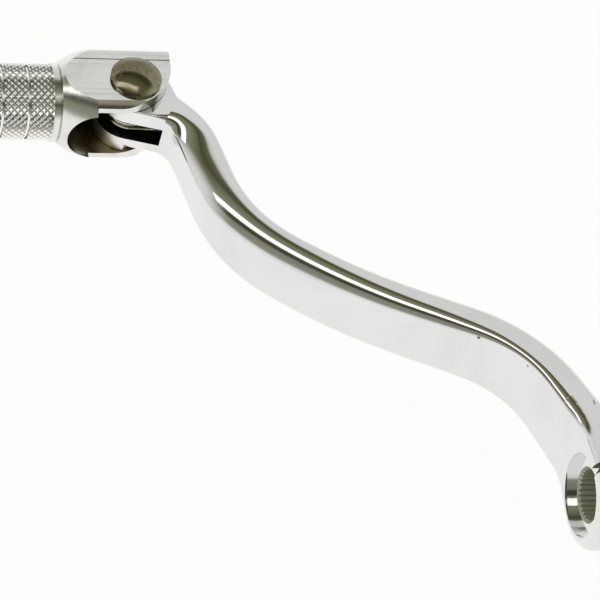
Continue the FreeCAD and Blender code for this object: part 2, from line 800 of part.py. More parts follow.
pieces = [
    build_lever_arm(),
    build_toe_peg(),
    build_pivot_rivet(),
    build_return_spring(),
    build_pinch_bolt(),
]
doc.recompute()

for item in doc.Objects:
    if "Invalid" in item.State or "Error" in item.State:
        raise RuntimeError(f"{item.Name} failed: {item.State}")
for piece in pieces:
    if piece.Shape.isNull() or not piece.Shape.isValid() or len(piece.Shape.Solids) != 1:
        raise RuntimeError(f"{piece.Label} isn't one valid solid")

os.makedirs("parts", exist_ok=True)
for piece in pieces:
    piece.Shape.exportStep(f"parts/{piece.Label}.step")
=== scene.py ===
import json
import math

import bpy
from mathutils import Matrix, Vector


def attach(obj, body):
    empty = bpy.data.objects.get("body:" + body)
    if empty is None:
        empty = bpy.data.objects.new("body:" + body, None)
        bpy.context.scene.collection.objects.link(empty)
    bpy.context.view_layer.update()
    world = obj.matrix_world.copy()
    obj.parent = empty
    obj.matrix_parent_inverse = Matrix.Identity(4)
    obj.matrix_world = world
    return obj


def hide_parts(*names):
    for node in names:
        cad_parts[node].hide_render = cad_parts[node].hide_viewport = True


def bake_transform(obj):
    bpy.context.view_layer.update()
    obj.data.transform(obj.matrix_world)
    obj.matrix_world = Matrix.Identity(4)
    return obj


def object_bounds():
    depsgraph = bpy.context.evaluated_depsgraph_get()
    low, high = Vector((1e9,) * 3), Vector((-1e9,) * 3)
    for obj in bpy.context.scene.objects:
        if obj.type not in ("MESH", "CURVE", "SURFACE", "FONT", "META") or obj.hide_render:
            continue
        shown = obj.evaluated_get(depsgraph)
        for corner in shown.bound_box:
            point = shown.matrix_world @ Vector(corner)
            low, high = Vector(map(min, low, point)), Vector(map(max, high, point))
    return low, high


# The looks of a gear shift lever: polished arm, turned and knurled toe peg, rivet, spring and bolt
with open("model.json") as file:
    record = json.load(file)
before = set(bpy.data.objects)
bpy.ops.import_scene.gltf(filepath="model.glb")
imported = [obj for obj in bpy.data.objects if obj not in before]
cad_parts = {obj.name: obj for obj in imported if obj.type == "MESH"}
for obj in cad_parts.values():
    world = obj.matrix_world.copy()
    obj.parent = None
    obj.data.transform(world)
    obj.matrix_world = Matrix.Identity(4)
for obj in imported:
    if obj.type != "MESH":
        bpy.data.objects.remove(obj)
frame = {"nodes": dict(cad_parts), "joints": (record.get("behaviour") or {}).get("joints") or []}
cad_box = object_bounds()
mm = 0.001
weld_gap = 0.001 * mm

# Places taken from the frame
hinge = Vector(frame["joints"][0]["pos_m"])
peg_axis_x = hinge.x + 0.8 * mm

# Limits on the solids that the finishes keep to
bore_teeth = 5.62 * mm
slot_half = 2.52 * mm
slot_depth = 5.72 * mm
eye_rim = 10 * mm
eye_back = 3 * mm
flat_height = 8.86 * mm
body_radius = 11.2 * mm
cone_start = 8.6 * mm
cone_taper = 0.42
fork_half = 6.52 * mm
fork_depth = 14.2 * mm
knurl_edge = 16.85 * mm

# Knurl on the peg
knurl_start = hinge.y + 16.8 * mm
knurl_root = 7.6 * mm
knurl_peak = 8.0 * mm
knurl_teeth = 34
knurl_rows = 7
band_length = 4.8 * mm
band_spacing = 5.4 * mm
band_count = 6
band_turn_in = 0.93
tip_chamfer = 0.8 * mm

# Arm between the eye and the boss, in plan: its front and rear edges as corners with the radii that round
# them, from a cut beside the eye to one beside the boss. Along the rear edge, the upper corner's reach
# across and down opens out behind the knuckle and closes again towards the boss. Each amount goes with a y,
# in millimetres, and the crease is the angle at which the crown leaves the rear wall.
front_edge = [(94.33, 77.12), (87.8, 71.1, 20), (63.97, 66.4, 27), (49.32, 45.4, 122), (34.5, 10.8, 35.5),
              (19.5, 4.13)]
rear_edge = [(88.13, 80.97), (87.34, 79.02, 4), (59.7, 72.95, 34.25), (42.95, 48.94, 129.25),
             (28.96, 16.27, 22), (16.5, 11.29)]
crown_reach = [(11.29, 2.4), (14, 1.6), (18, 1.6), (23, 2.3), (31.59, 3.3), (68, 5.4), (73, 6.1), (77, 6.4),
               (79, 5.6), (80.2, 3.6), (80.97, 1.3)]
crown_drop = [(11.29, 2.4), (14, 1.6), (18, 1.6), (23, 2.3), (31.59, 3.4), (66, 5.4), (73, 4.4), (77, 3.1),
              (79, 2.7), (80.2, 2.3), (80.97, 1.25)]
front_round = [(11.29, 2.4), (31.59, 2.1), (68, 1.6), (80.97, 1.2)]
lower_rear_round = [(11.29, 2.4), (77.2, 2.4), (80.97, 2.1)]
crown_crease = [(11.29, 0), (16, 4), (31.59, 8), (60, 14), (68, 24), (73, 38), (77, 46), (80, 46), (80.97, 4)]
knuckle_height = 6.3
height_growth = 0.0427
growth_start = 82
least_top = 0.5
below_crease = (0.5, 0.25)
arm_stations = (24, 48, 46, 60, 36)
evening_passes = 24
evening_step = 0.3
evening_reach = 7
crown_steps = 28
corner_steps = 9

# Return spring
wire_radius = 0.55 * mm
wire_sides = 12
coil_radius = 4.4 * mm
coil_pitch = 1.25 * mm
coil_turns = 2 + 60 / 360
coil_steps = 32
inner_leg = 7.6 * mm
outer_leg = 9.53 * mm


def start_piece(name, add_primitive, **settings):
    """A new primitive, the only thing selected."""
    bpy.ops.object.select_all(action="DESELECT")
    add_primitive(**settings)
    piece = bpy.context.object
    piece.name = piece.data.name = name
    return piece


def select_vertices(piece, wanted):
    """Selects, for edit mode, only the vertices whose place passes the test."""
    bpy.ops.object.mode_set(mode="EDIT")
    bpy.ops.mesh.select_mode(type="VERT")
    bpy.ops.mesh.select_all(action="DESELECT")
    bpy.ops.object.mode_set(mode="OBJECT")
    for vertex in piece.data.vertices:
        vertex.select = wanted(vertex)
    bpy.ops.object.mode_set(mode="EDIT")


def settle(piece):
    """Puts the piece's place and turn into its mesh."""
    bpy.ops.object.mode_set(mode="OBJECT")
    bpy.ops.object.transform_apply(location=True, rotation=True, scale=True)
    return piece


def knurled_band(name, rows):
    """A ring of pyramids: every second corner of a round net is drawn outwards, and the net is
    split along its valleys. The ring's ends turn in below the root."""
    columns = 2 * knurl_teeth
    step = band_length / knurl_rows
    ring = start_piece(name, bpy.ops.mesh.primitive_circle_add, vertices=columns, radius=knurl_root,
                       location=(peg_axis_x, knurl_start, 0), rotation=(math.pi / 2, 0, 0))
    settle(ring)
    bpy.ops.object.mode_set(mode="EDIT")
    bpy.ops.mesh.select_all(action="SELECT")
    for _ in range(rows):
        bpy.ops.mesh.extrude_region_move(TRANSFORM_OT_translate={"value": (0, step, 0)})

    def is_peak(vertex):
        turn = math.atan2(vertex.co.z, vertex.co.x - peg_axis_x) / (2 * math.pi)
        row = round((vertex.co.y - knurl_start) / step)
        return (round(turn * columns) + row) % 2 == 0
    axis_point = (peg_axis_x, knurl_start, 0)
    select_vertices(ring, is_peak)
    draw_out = knurl_peak / knurl_root
    bpy.ops.transform.resize(value=(draw_out, 1, draw_out), center_override=axis_point)
    bpy.ops.mesh.select_all(action="SELECT")
    bpy.ops.mesh.quads_convert_to_tris(quad_method="SHORTEST_DIAGONAL")
    bpy.ops.mesh.select_all(action="DESELECT")
    bpy.ops.mesh.select_non_manifold()
    bpy.ops.mesh.extrude_region_move()
    bpy.ops.transform.resize(value=(band_turn_in, 1, band_turn_in), center_override=axis_point)
    bpy.ops.mesh.bridge_edge_loops()
    bpy.ops.mesh.select_all(action="SELECT")
    bpy.ops.mesh.normals_make_consistent(inside=False)
    bpy.ops.object.mode_set(mode="OBJECT")
    return ring


def build_knurl():
    """The peg's knurled bands, with a plain groove between each band and the next."""
    step = band_length / knurl_rows
    full_band = knurled_band("peg_knurl", knurl_rows)
    bands = [full_band]
    for number in range(1, band_count - 1):
        bpy.ops.object.select_all(action="DESELECT")
        full_band.select_set(True)
        bpy.context.view_layer.objects.active = full_band
        bpy.ops.object.duplicate()
        band = bpy.context.object
        band.location.y += number * band_spacing
        bands.append(settle(band))
    tip_rows = knurl_rows - math.ceil(tip_chamfer / step)
    tip_band = knurled_band("tip_band", tip_rows)
    tip_band.location.y += (band_count - 1) * band_spacing
    bands.append(settle(tip_band))
    bpy.ops.object.select_all(action="DESELECT")
    for band in bands:
        band.select_set(True)
    bpy.context.view_layer.objects.active = full_band
    bpy.ops.object.join()
    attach(full_band, "peg")
    return full_band


def build_spring():
    """The return spring: a coil of wire round the rivet, and its two straight legs."""
    height = coil_turns * coil_pitch
    spring = start_piece("spring_coil", bpy.ops.mesh.primitive_circle_add, vertices=wire_sides,
                         radius=wire_radius, location=(-coil_radius, 0, -height / 2),
                         rotation=(math.pi / 2, 0, 0))
    settle(spring)
    winding = spring.modifiers.new("winding", "SCREW")
    winding.angle = -coil_turns * 2 * math.pi
    winding.screw_offset = height
    winding.steps = winding.render_steps = round(coil_turns * coil_steps)
    bpy.ops.object.modifier_apply(modifier=winding.name)

    climb = coil_pitch / (2 * math.pi * coil_radius)
    end_turn = math.pi - coil_turns * 2 * math.pi
    inner_start = Vector((-coil_radius, 0, -height / 2))
    outer_start = Vector((coil_radius * math.cos(end_turn), coil_radius * math.sin(end_turn), height / 2))
    outer_way = Vector((math.sin(end_turn), -math.cos(end_turn), climb))
    inner_way = Vector((0, -1, -climb))
    for start, run in ((inner_start, inner_way * inner_leg), (outer_start, outer_way * outer_leg)):
        across = run.normalized()

        def in_end_ring(vertex):
            offset = vertex.co - start
            return offset.length < wire_radius * 1.2 and abs(offset.dot(across)) < wire_radius * 0.1
        select_vertices(spring, in_end_ring)
        bpy.ops.mesh.extrude_region_move(TRANSFORM_OT_translate={"value": run})
        bpy.ops.mesh.edge_face_add()
    bpy.ops.mesh.select_all(action="SELECT")
    bpy.ops.mesh.remove_doubles(threshold=weld_gap)
    bpy.ops.mesh.normals_make_consistent(inside=False)
    bpy.ops.object.mode_set(mode="OBJECT")
    spring.location = hinge
    settle(spring)
    bpy.ops.object.shade_smooth_by_angle(angle=math.radians(50))
    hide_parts("return_spring")
    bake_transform(spring)
    return spring


def bent_line(corners):
    """Points along a line whose inner corners are rounded, each with its distance from the start, and the
    distances of its two ends and of the middle of each corner."""
    points = [Vector(corners[0])]
    middles = [0]
    steps = 60
    for before, here, after in zip(corners, corners[1:], corners[2:]):
        corner, radius = Vector(here[:2]), here[2]
        back = (Vector(before[:2]) - corner).normalized()
        ahead = (Vector(after[:2]) - corner).normalized()
        half = back.angle(ahead) / 2
        centre = corner + (back + ahead).normalized() * radius / math.sin(half)
        start = corner + back * radius / math.tan(half) - centre
        end = corner + ahead * radius / math.tan(half) - centre
        first = math.atan2(start.y, start.x)
        turn = (math.atan2(end.y, end.x) - first + math.pi) % (2 * math.pi) - math.pi
        middles.append(len(points) + steps // 2)
        for step in range(steps + 1):
            angle = first + turn * step / steps
            points.append(centre + radius * Vector((math.cos(angle), math.sin(angle))))
    middles.append(len(points))
    points.append(Vector(corners[-1]))
    line = [(0, points[0])]
    for point in points[1:]:
        line.append((line[-1][0] + (point - line[-1][1]).length, point))
    return line, [line[middle][0] for middle in middles]


def along(line, wanted):
    """The point at a distance along a line."""
    for (near, start), (far, end) in zip(line, line[1:]):
        if wanted <= far and far > near:
            return start.lerp(end, (wanted - near) / (far - near))
    return line[-1][1]


def graded(stops, place):
    """The amount at a place between stops, evened out over a short run either side."""
    total = 0
    runs = [step * evening_step for step in range(-evening_reach, evening_reach + 1)]
    for run in runs:
        here = min(max(place + run, stops[0][0]), stops[-1][0])
        for (near, low), (far, high) in zip(stops, stops[1:]):
            if here <= far:
                total += low + (high - low) * (here - near) / (far - near)
                break
    return total / len(runs)


def arm_height(x):
    """Half the arm's height, which grows from the knuckle towards the boss."""
    return knuckle_height + height_growth * max(growth_start - x, 0)


def arm_section(front, rear):
    """One section of the arm, from its rear wall over the crown and round by the front."""
    width = (front - rear).length
    reach, drop = graded(crown_reach, rear.y), graded(crown_drop, rear.y)
    plain, low = graded(front_round, rear.y), graded(lower_rear_round, rear.y)
    reach = min(reach, width - plain - least_top)
    crease = math.radians(graded(crown_crease, rear.y))
    ring = [Vector((rear.x, rear.y, arm_height(rear.x) - drop - below)) * mm for below in below_crease]
    for number, (across, down, steps, side, level) in enumerate((
            (reach, drop, crown_steps, 0, 1), (plain, plain, corner_steps, 1, 1),
            (plain, plain, corner_steps, 1, -1), (low, low, corner_steps, 0, -1))):
        for step in range(steps + 1):
            first = crease if number == 0 else 0
            turn = first + (math.radians(90) - first) * step / steps
            if number % 2:
                turn = math.radians(90) - turn
            inset = across * (1 - math.cos(turn) / math.cos(first))
            place = rear.lerp(front, (width - inset if side else inset) / width)
            height = arm_height(place.x) - down * (1 - math.sin(turn)) / (1 - math.sin(first))
            ring.append(Vector((place.x, place.y, level * height)) * mm)
    return ring


def cut_across(rear, front):
    """The upright plane through a rear and a front point: a place on it, its way along and its normal."""
    way = (Vector(front[:2]) - Vector(rear[:2])).normalized()
    return Vector((*rear[:2], 0)) * mm, Vector((*way, 0)), Vector((-way.y, way.x, 0))


def arm_end(name, rear, front, keep_outboard):
    """A copy of the arm's solid, cut across and kept on one side of the cut."""
    bpy.ops.object.select_all(action="DESELECT")
    solid = frame["nodes"]["lever_arm"]
    solid.select_set(True)
    bpy.context.view_layer.objects.active = solid
    bpy.ops.object.duplicate()
    end = bpy.context.object
    end.name = end.data.name = name
    cut_place, _, cut_normal = cut_across(rear, front)
    bpy.ops.object.mode_set(mode="EDIT")
    bpy.ops.mesh.select_all(action="SELECT")
    bpy.ops.mesh.remove_doubles(threshold=weld_gap / 2, use_sharp_edge_from_normals=True)
    bpy.ops.mesh.bisect(plane_co=cut_place, plane_no=cut_normal, clear_inner=keep_outboard,
                        clear_outer=not keep_outboard, threshold=0.0001 * mm)
    bpy.ops.object.mode_set(mode="OBJECT")
    shading = end.modifiers.new("shading", "WEIGHTED_NORMAL")
    shading.keep_sharp = True
    bpy.ops.object.modifier_apply(modifier=shading.name)
    return end


def close_seam(piece, rear, front):
    """Joins the skin's edge to the edge of the cut end that it meets, and caps a hole that the cut opens."""
    cut_place, along_cut, cut_normal = cut_across(rear, front)
    width = (Vector(front[:2]) - Vector(rear[:2])).length * mm
    wall = 0.8 * mm
    hole_height = 4 * mm
    on_plane = 0.02 * mm
    uses = {}
    for face in piece.data.polygons:
        for edge in face.edge_keys:
            uses[edge] = uses.get(edge, 0) + 1
    open_vertices = {vertex for edge, count in uses.items() if count == 1 for vertex in edge}

    def on_cut(vertex):
        return vertex.index in open_vertices and abs((vertex.co - cut_place).dot(cut_normal)) < on_plane

    def in_hole(vertex):
        reach = (vertex.co - cut_place).dot(along_cut)
        return abs(vertex.co.z) < hole_height and wall < reach < width - wall
    select_vertices(piece, lambda vertex: on_cut(vertex) and in_hole(vertex))
    if piece.data.total_vert_sel:
        bpy.ops.mesh.mark_sharp()
        bpy.ops.mesh.edge_face_add()
    select_vertices(piece, lambda vertex: on_cut(vertex) and not in_hole(vertex))
    bpy.ops.mesh.mark_sharp()
    bpy.ops.mesh.bridge_edge_loops()
    bpy.ops.object.mode_set(mode="OBJECT")


def build_arm():
    """The arm: the solid's two ends, and between them a smooth forged skin wrapped round the sections."""
    front_line, front_marks = bent_line(front_edge)
    rear_line, rear_marks = bent_line(rear_edge)
    sections = []
    for span_number, count in enumerate(arm_stations):
        for step in range(count):
            ends = []
            for line, marks in ((front_line, front_marks), (rear_line, rear_marks)):
                near, far = marks[span_number], marks[span_number + 1]
                ends.append(along(line, near + (far - near) * step / count))
            sections.append(arm_section(*ends))
    sections.append(arm_section(front_line[-1][1], rear_line[-1][1]))
    for _ in range(evening_passes):
        evened = [[(before + 2 * here + after) / 4 for before, here, after in zip(*neighbours)]
                  for neighbours in zip(sections, sections[1:], sections[2:])]
        sections = [sections[0], *evened, sections[-1]]
    long, around = len(sections) - 1, len(sections[0])
    skin = start_piece("arm_forging", bpy.ops.mesh.primitive_grid_add, x_subdivisions=long,
                       y_subdivisions=around, size=1)
    for vertex in skin.data.vertices:
        section = sections[round((vertex.co.x + 0.5) * long)]
        vertex.co = section[round((vertex.co.y + 0.5) * around) % around]
    bpy.ops.object.mode_set(mode="EDIT")
    bpy.ops.mesh.select_all(action="SELECT")
    bpy.ops.mesh.remove_doubles(threshold=weld_gap)
    bpy.ops.mesh.normals_make_consistent(inside=False)
    bpy.ops.object.mode_set(mode="OBJECT")
    bpy.ops.object.shade_smooth()
    eye_end = arm_end("eye_end", rear_edge[0], front_edge[0], True)
    boss_end = arm_end("boss_end", rear_edge[-1], front_edge[-1], False)
    bpy.ops.object.select_all(action="DESELECT")
    for piece in (eye_end, boss_end, skin):
        piece.select_set(True)
    bpy.context.view_layer.objects.active = skin
    bpy.ops.object.join()
    close_seam(skin, rear_edge[0], front_edge[0])
    close_seam(skin, rear_edge[-1], front_edge[-1])
    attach(skin, "lever")
    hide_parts("lever_arm")
    return skin


knurl = build_knurl()
spring = build_spring()
arm = build_arm()


def plug(tree, socket, value):
    """Joins a socket to another node's output, or sets it to a value."""
    if isinstance(value, bpy.types.NodeSocket):
        tree.links.new(value, socket)
    else:
        socket.default_value = value


def node(tree, kind, sockets=None, **settings):
    """A node with its settings, and its sockets set to values or joined to other nodes' outputs."""
    made = tree.nodes.new(kind)
    for name, value in settings.items():
        setattr(made, name, value)
    for name, value in (sockets or {}).items():
        plug(tree, made.inputs[name], value)
    return made


def figure(tree, operation, *values):
    """The result of a sum on one or two numbers."""
    made = node(tree, "ShaderNodeMath", operation=operation)
    for socket, value in zip(made.inputs, values):
        plug(tree, socket, value)
    return made.outputs["Value"]


def span(tree, amount, low, high):
    """0 up to the low amount, 1 from the high one, and a soft step between."""
    sockets = {"Value": amount, "From Min": low, "From Max": high}
    return node(tree, "ShaderNodeMapRange", sockets, interpolation_type="SMOOTHSTEP").outputs["Result"]


def between(tree, amount, first, second):
    """The number between two, by an amount from 0 to 1."""
    sockets = {"Value": amount, "To Min": first, "To Max": second}
    return node(tree, "ShaderNodeMapRange", sockets).outputs["Result"]


def tint(tree, amount, first, second):
    """The colour between two, by an amount from 0 to 1."""
    made = node(tree, "ShaderNodeMix", data_type="RGBA")
    for index, value in ((0, amount), (6, first), (7, second)):
        plug(tree, made.inputs[index], value if not isinstance(value, tuple) else (*value, 1))
    return made.outputs[2]


def stretched(tree, place, amounts, offset=(0, 0, 0)):
    """The place moved by the offset and stretched along each axis."""
    moved = node(tree, "ShaderNodeVectorMath", {0: place, 1: offset}, operation="SUBTRACT").outputs[0]
    return node(tree, "ShaderNodeVectorMath", {0: moved, 1: amounts}, operation="MULTIPLY").outputs[0]


def distance(tree, place):
    """How far a place is from the origin."""
    return node(tree, "ShaderNodeVectorMath", {0: place}, operation="LENGTH").outputs["Value"]


def product(tree, *values):
    """Numbers multiplied together."""
    total = values[0]
    for value in values[1:]:
        total = figure(tree, "MULTIPLY", total, value)
    return total


def inverse(tree, amount):
    """1 less the amount."""
    return figure(tree, "SUBTRACT", 1.0, amount)


def grain(tree, place, scale, detail):
    """Plain noise at a scale."""
    sockets = {"Vector": place, "Scale": scale, "Detail": detail}
    return node(tree, "ShaderNodeTexNoise", sockets).outputs["Fac"]


def parts_of(tree, place):
    """The x, y and z of a place."""
    return node(tree, "ShaderNodeSeparateXYZ", {"Vector": place}).outputs


def relief(tree, shader, height, depth, strength=1.0, under=None):
    """Raises the surface by a pattern's height, over another relief if there is one."""
    sockets = {"Height": height, "Distance": depth, "Strength": strength}
    if under is not None:
        sockets["Normal"] = under
    bumped = node(tree, "ShaderNodeBump", sockets).outputs["Normal"]
    tree.links.new(bumped, shader.inputs["Normal"])
    return bumped


def pattern_group(name, inputs):
    """A group for one pattern: its inputs, a place and plain numbers, and one mask out."""
    group = bpy.data.node_groups.new(name, "ShaderNodeTree")
    group.interface.new_socket("Place", in_out="INPUT", socket_type="NodeSocketVector")
    for label in inputs:
        group.interface.new_socket(label, in_out="INPUT", socket_type="NodeSocketFloat")
    group.interface.new_socket("Mask", in_out="OUTPUT", socket_type="NodeSocketFloat")
    return group, group.nodes.new("NodeGroupInput").outputs, group.nodes.new("NodeGroupOutput").inputs["Mask"]


def smudge_group():
    """Soft cloudy patches, as handling and polish leave them; they also mottle the painted shade in the
    spring slot and the fork.
    """
    group, given, mask = pattern_group("smudges", ["Scale"])
    cloud = node(group, "ShaderNodeTexNoise", {"Vector": given["Place"], "Scale": given["Scale"],
                                               "Detail": 5.0, "Roughness": 0.6, "Distortion": 0.8})
    group.links.new(span(group, cloud.outputs["Fac"], 0.38, 0.68), mask)
    return group


def hairline_group():
    """Fine lines that run along x of the place and differ across y and z."""
    group, given, mask = pattern_group("hairlines", ["Scale", "Share"])
    thin = grain(group, given["Place"], given["Scale"], 2.0)
    edge = figure(group, "SUBTRACT", 0.72, product(group, given["Share"], 0.3))
    group.links.new(span(group, thin, edge, figure(group, "ADD", edge, 0.12)), mask)
    return group


def pit_group():
    """Small round pits, in some of the cells of a net only."""
    group, given, mask = pattern_group("pits", ["Scale", "Share"])
    sockets = {"Vector": given["Place"], "Scale": given["Scale"], "Detail": 3.0}
    warp = node(group, "ShaderNodeTexNoise", sockets)
    bent = node(group, "ShaderNodeVectorMath", {0: warp.outputs["Color"], 1: (0.0004, 0.0004, 0.0004)},
                operation="MULTIPLY").outputs[0]
    place = node(group, "ShaderNodeVectorMath", {0: given["Place"], 1: bent}, operation="ADD").outputs[0]
    cells = node(group, "ShaderNodeTexVoronoi", {"Vector": place, "Scale": given["Scale"]})
    chosen = node(group, "ShaderNodeSeparateColor", {"Color": cells.outputs["Color"]}).outputs["Red"]
    some = figure(group, "LESS_THAN", chosen, given["Share"])
    near = inverse(group, span(group, cells.outputs["Distance"], 0.12, 0.42))
    group.links.new(product(group, some, near), mask)
    return group


def pattern(tree, group, place, **numbers):
    """A pattern group placed in a material with its own numbers."""
    made = node(tree, "ShaderNodeGroup", node_tree=group)
    plug(tree, made.inputs["Place"], place)
    for label, value in numbers.items():
        plug(tree, made.inputs[label.capitalize()], value)
    return made.outputs["Mask"]


smudges = smudge_group()
hairlines = hairline_group()
pits = pit_group()


def new_metal(name):
    """A material with one metal shader, and the place where its patterns start."""
    material = bpy.data.materials.new(name)
    material.use_nodes = True
    tree = material.node_tree
    shader = tree.nodes["Principled BSDF"]
    shader.inputs["Metallic"].default_value = 1
    place = node(tree, "ShaderNodeTexCoord").outputs["Object"]
    return material, tree, shader, place


def polished_alloy():
    """Buffed aluminium with faint smudges, fine scratches and a few nicks, with painted shade inside the bore
    and in the spring slot.
    """
    material, tree, shader, place = new_metal("polished_alloy")
    _, y, z = parts_of(tree, place)
    cloud = pattern(tree, smudges, place, scale=60.0)
    scratch = pattern(tree, hairlines, stretched(tree, place, (0.35, 0.35, 6.0)), scale=420.0, share=0.25)
    colour = tint(tree, cloud, (0.80, 0.80, 0.79), (0.765, 0.77, 0.755))
    gloss = between(tree, cloud, 0.05, 0.10)
    gloss = figure(tree, "ADD", gloss, product(tree, scratch, 0.05))

    # Painted shade inside the bore, a dull olive tint, and painted shade in the spring slot, near black and
    # mottled, with pale specks towards its inner end
    in_bore = figure(tree, "LESS_THAN", distance(tree, stretched(tree, place, (1, 0, 1))), bore_teeth)
    colour = tint(tree, in_bore, colour, (0.52, 0.54, 0.43))
    gloss = between(tree, in_bore, gloss, 0.45)
    plug(tree, shader.inputs["Metallic"], between(tree, in_bore, 1.0, 0.35))
    in_slot = product(tree, figure(tree, "LESS_THAN", figure(tree, "ABSOLUTE", z), slot_half),
                      figure(tree, "GREATER_THAN", y, hinge.y - slot_depth))
    # The painted shade in the slot is mottled between two near blacks
    slot_shade_mottle = pattern(tree, smudges, place, scale=900.0)
    colour = tint(tree, in_slot, colour, tint(tree, slot_shade_mottle, (0.012, 0.011, 0.007), (0.06, 0.055, 0.035)))
    speck = pattern(tree, pits, place, scale=1300.0, share=0.3)
    far_in = inverse(tree, span(tree, y, hinge.y - 5.0 * mm, hinge.y - 3.0 * mm))
    colour = tint(tree, product(tree, speck, far_in, in_slot), colour, (0.7, 0.7, 0.6))
    gloss = between(tree, in_slot, gloss, 0.45)

    # The eye's turned rim is satin
    from_pivot = distance(tree, stretched(tree, place, (1, 1, 0), Vector((hinge.x, hinge.y, 0))))
    on_eye = product(tree, figure(tree, "LESS_THAN", from_pivot, eye_rim),
                     figure(tree, "GREATER_THAN", y, hinge.y - eye_back), inverse(tree, in_slot))
    gloss = between(tree, on_eye, gloss, 0.4)
    colour = tint(tree, on_eye, colour, (0.92, 0.92, 0.9))

    # Small nicks along the crown's edge and by the boss
    for nick, reach in ((Vector((15.7, 4.9, 9.1)) * mm, (1000, 5200, 1000)),
                        (Vector((26.0, 15.8, 7.05)) * mm, (1500, 2100, 2400)),
                        (Vector((33.0, 24.6, 6.8)) * mm, (1500, 1500, 2100))):
        mark = inverse(tree, span(tree, distance(tree, stretched(tree, place, reach, nick)), 0.35, 0.9))
        colour = tint(tree, mark, colour, (0.08, 0.08, 0.07))
    plug(tree, shader.inputs["Base Color"], colour)
    plug(tree, shader.inputs["Roughness"], gloss)
    waved = relief(tree, shader, grain(tree, place, 55.0, 1.0), 0.06 * mm)
    relief(tree, shader, scratch, 0.002 * mm, 0.4, waved)
    return material


def turned_alloy():
    """Turned and milled aluminium: rings round the axis, straight lines on the flats, darker at the foot of
    the knurl, and painted shade in the fork, near black above and mottled brown on its lower wall."""
    material, tree, shader, place = new_metal("turned_alloy")
    peg_place = stretched(tree, place, (1, 1, 1), Vector((peg_axis_x, hinge.y, 0)))
    _, y, z = parts_of(tree, peg_place)
    radius = distance(tree, stretched(tree, peg_place, (1, 0, 1)))
    height = figure(tree, "ABSOLUTE", z)
    on_flat = figure(tree, "GREATER_THAN", height, flat_height)
    on_knurl = figure(tree, "GREATER_THAN", y, knurl_edge)
    rings = grain(tree, stretched(tree, peg_place, (0.02, 1, 0.02)), 2600.0, 3.0)
    lines = grain(tree, stretched(tree, peg_place, (1, 0.015, 0.1)), 1500.0, 3.0)
    tooling = between(tree, on_flat, rings, lines)
    cloud = pattern(tree, smudges, place, scale=120.0)
    colour = tint(tree, cloud, (0.82, 0.82, 0.795), (0.72, 0.725, 0.69))
    colour = tint(tree, on_knurl, colour, (0.93, 0.93, 0.91))
    cutter_lines = product(tree, span(tree, lines, 0.52, 0.75), on_flat)
    colour = tint(tree, cutter_lines, colour, (0.64, 0.645, 0.60))
    on_cone = product(tree, figure(tree, "GREATER_THAN", y, cone_start - 0.1 * mm), inverse(tree, on_flat))
    gloss = figure(tree, "ADD", between(tree, tooling, 0.08, 0.17), product(tree, on_cone, 0.06))

    # Darker at the foot of the knurl
    valley = inverse(tree, span(tree, radius, knurl_root - 0.02 * mm, knurl_root + 0.16 * mm))
    above_groove = figure(tree, "GREATER_THAN", radius, knurl_root - 0.12 * mm)
    colour = tint(tree, product(tree, on_knurl, valley, above_groove), colour, (0.30, 0.29, 0.23))

    # Painted shade in the fork: near black on its upper wall, going over to a mottled brown on its lower wall
    past_body = figure(tree, "MAXIMUM", figure(tree, "SUBTRACT", y, cone_start), 0.0)
    outside = figure(tree, "SUBTRACT", body_radius, product(tree, past_body, cone_taper))
    depth = figure(tree, "SUBTRACT", outside, radius)
    inside = product(tree, span(tree, depth, 0.5 * mm, 1.3 * mm),
                     figure(tree, "LESS_THAN", height, fork_half), figure(tree, "LESS_THAN", y, fork_depth))
    low = inverse(tree, span(tree, z, -6.5 * mm, -1.5 * mm))
    # The painted shade in the fork is mottled on its lower wall
    fork_shade_mottle = pattern(tree, smudges, place, scale=260.0)
    brown = tint(tree, fork_shade_mottle, (0.50, 0.46, 0.22), (0.26, 0.17, 0.06))
    colour = tint(tree, inside, colour, tint(tree, low, (0.03, 0.027, 0.017), brown))
    gloss = between(tree, inside, gloss, 0.42)
    plug(tree, shader.inputs["Base Color"], colour)
    plug(tree, shader.inputs["Roughness"], gloss)
    relief(tree, shader, tooling, 0.012 * mm, 0.5)
    return material


def rivet_steel():
    """Dull steel, browned and pitted, most of all towards the front."""
    material, tree, shader, place = new_metal("rivet_steel")
    forward = span(tree, parts_of(tree, stretched(tree, place, (1, 1, 1), hinge))["X"], -2.5 * mm, 2.5 * mm)
    cloud = pattern(tree, smudges, place, scale=420.0)
    pit = pattern(tree, pits, place, scale=1700.0, share=between(tree, forward, 0.05, 0.7))
    colour = tint(tree, forward, (0.32, 0.30, 0.20), (0.17, 0.15, 0.085))
    colour = tint(tree, product(tree, cloud, 0.7), colour, (0.19, 0.16, 0.09))
    colour = tint(tree, pit, colour, (0.05, 0.04, 0.025))
    plug(tree, shader.inputs["Base Color"], colour)
    plug(tree, shader.inputs["Roughness"], between(tree, cloud, 0.12, 0.24))
    hammered = relief(tree, shader, grain(tree, place, 500.0, 2.0), 0.08 * mm, 0.5)
    relief(tree, shader, inverse(tree, pit), 0.1 * mm, 0.6, hammered)
    return material


def spring_steel():
    """Drawn wire, bright along its length, with patches of brown film."""
    material, tree, shader, place = new_metal("spring_steel")
    drawn = grain(tree, stretched(tree, place, (1, 1, 5), hinge), 900.0, 3.0)
    film = pattern(tree, smudges, place, scale=500.0)
    colour = tint(tree, film, (0.56, 0.55, 0.48), (0.24, 0.21, 0.15))
    plug(tree, shader.inputs["Base Color"], colour)
    plug(tree, shader.inputs["Roughness"], between(tree, drawn, 0.12, 0.3))
    relief(tree, shader, drawn, 0.008 * mm, 0.5)
    return material


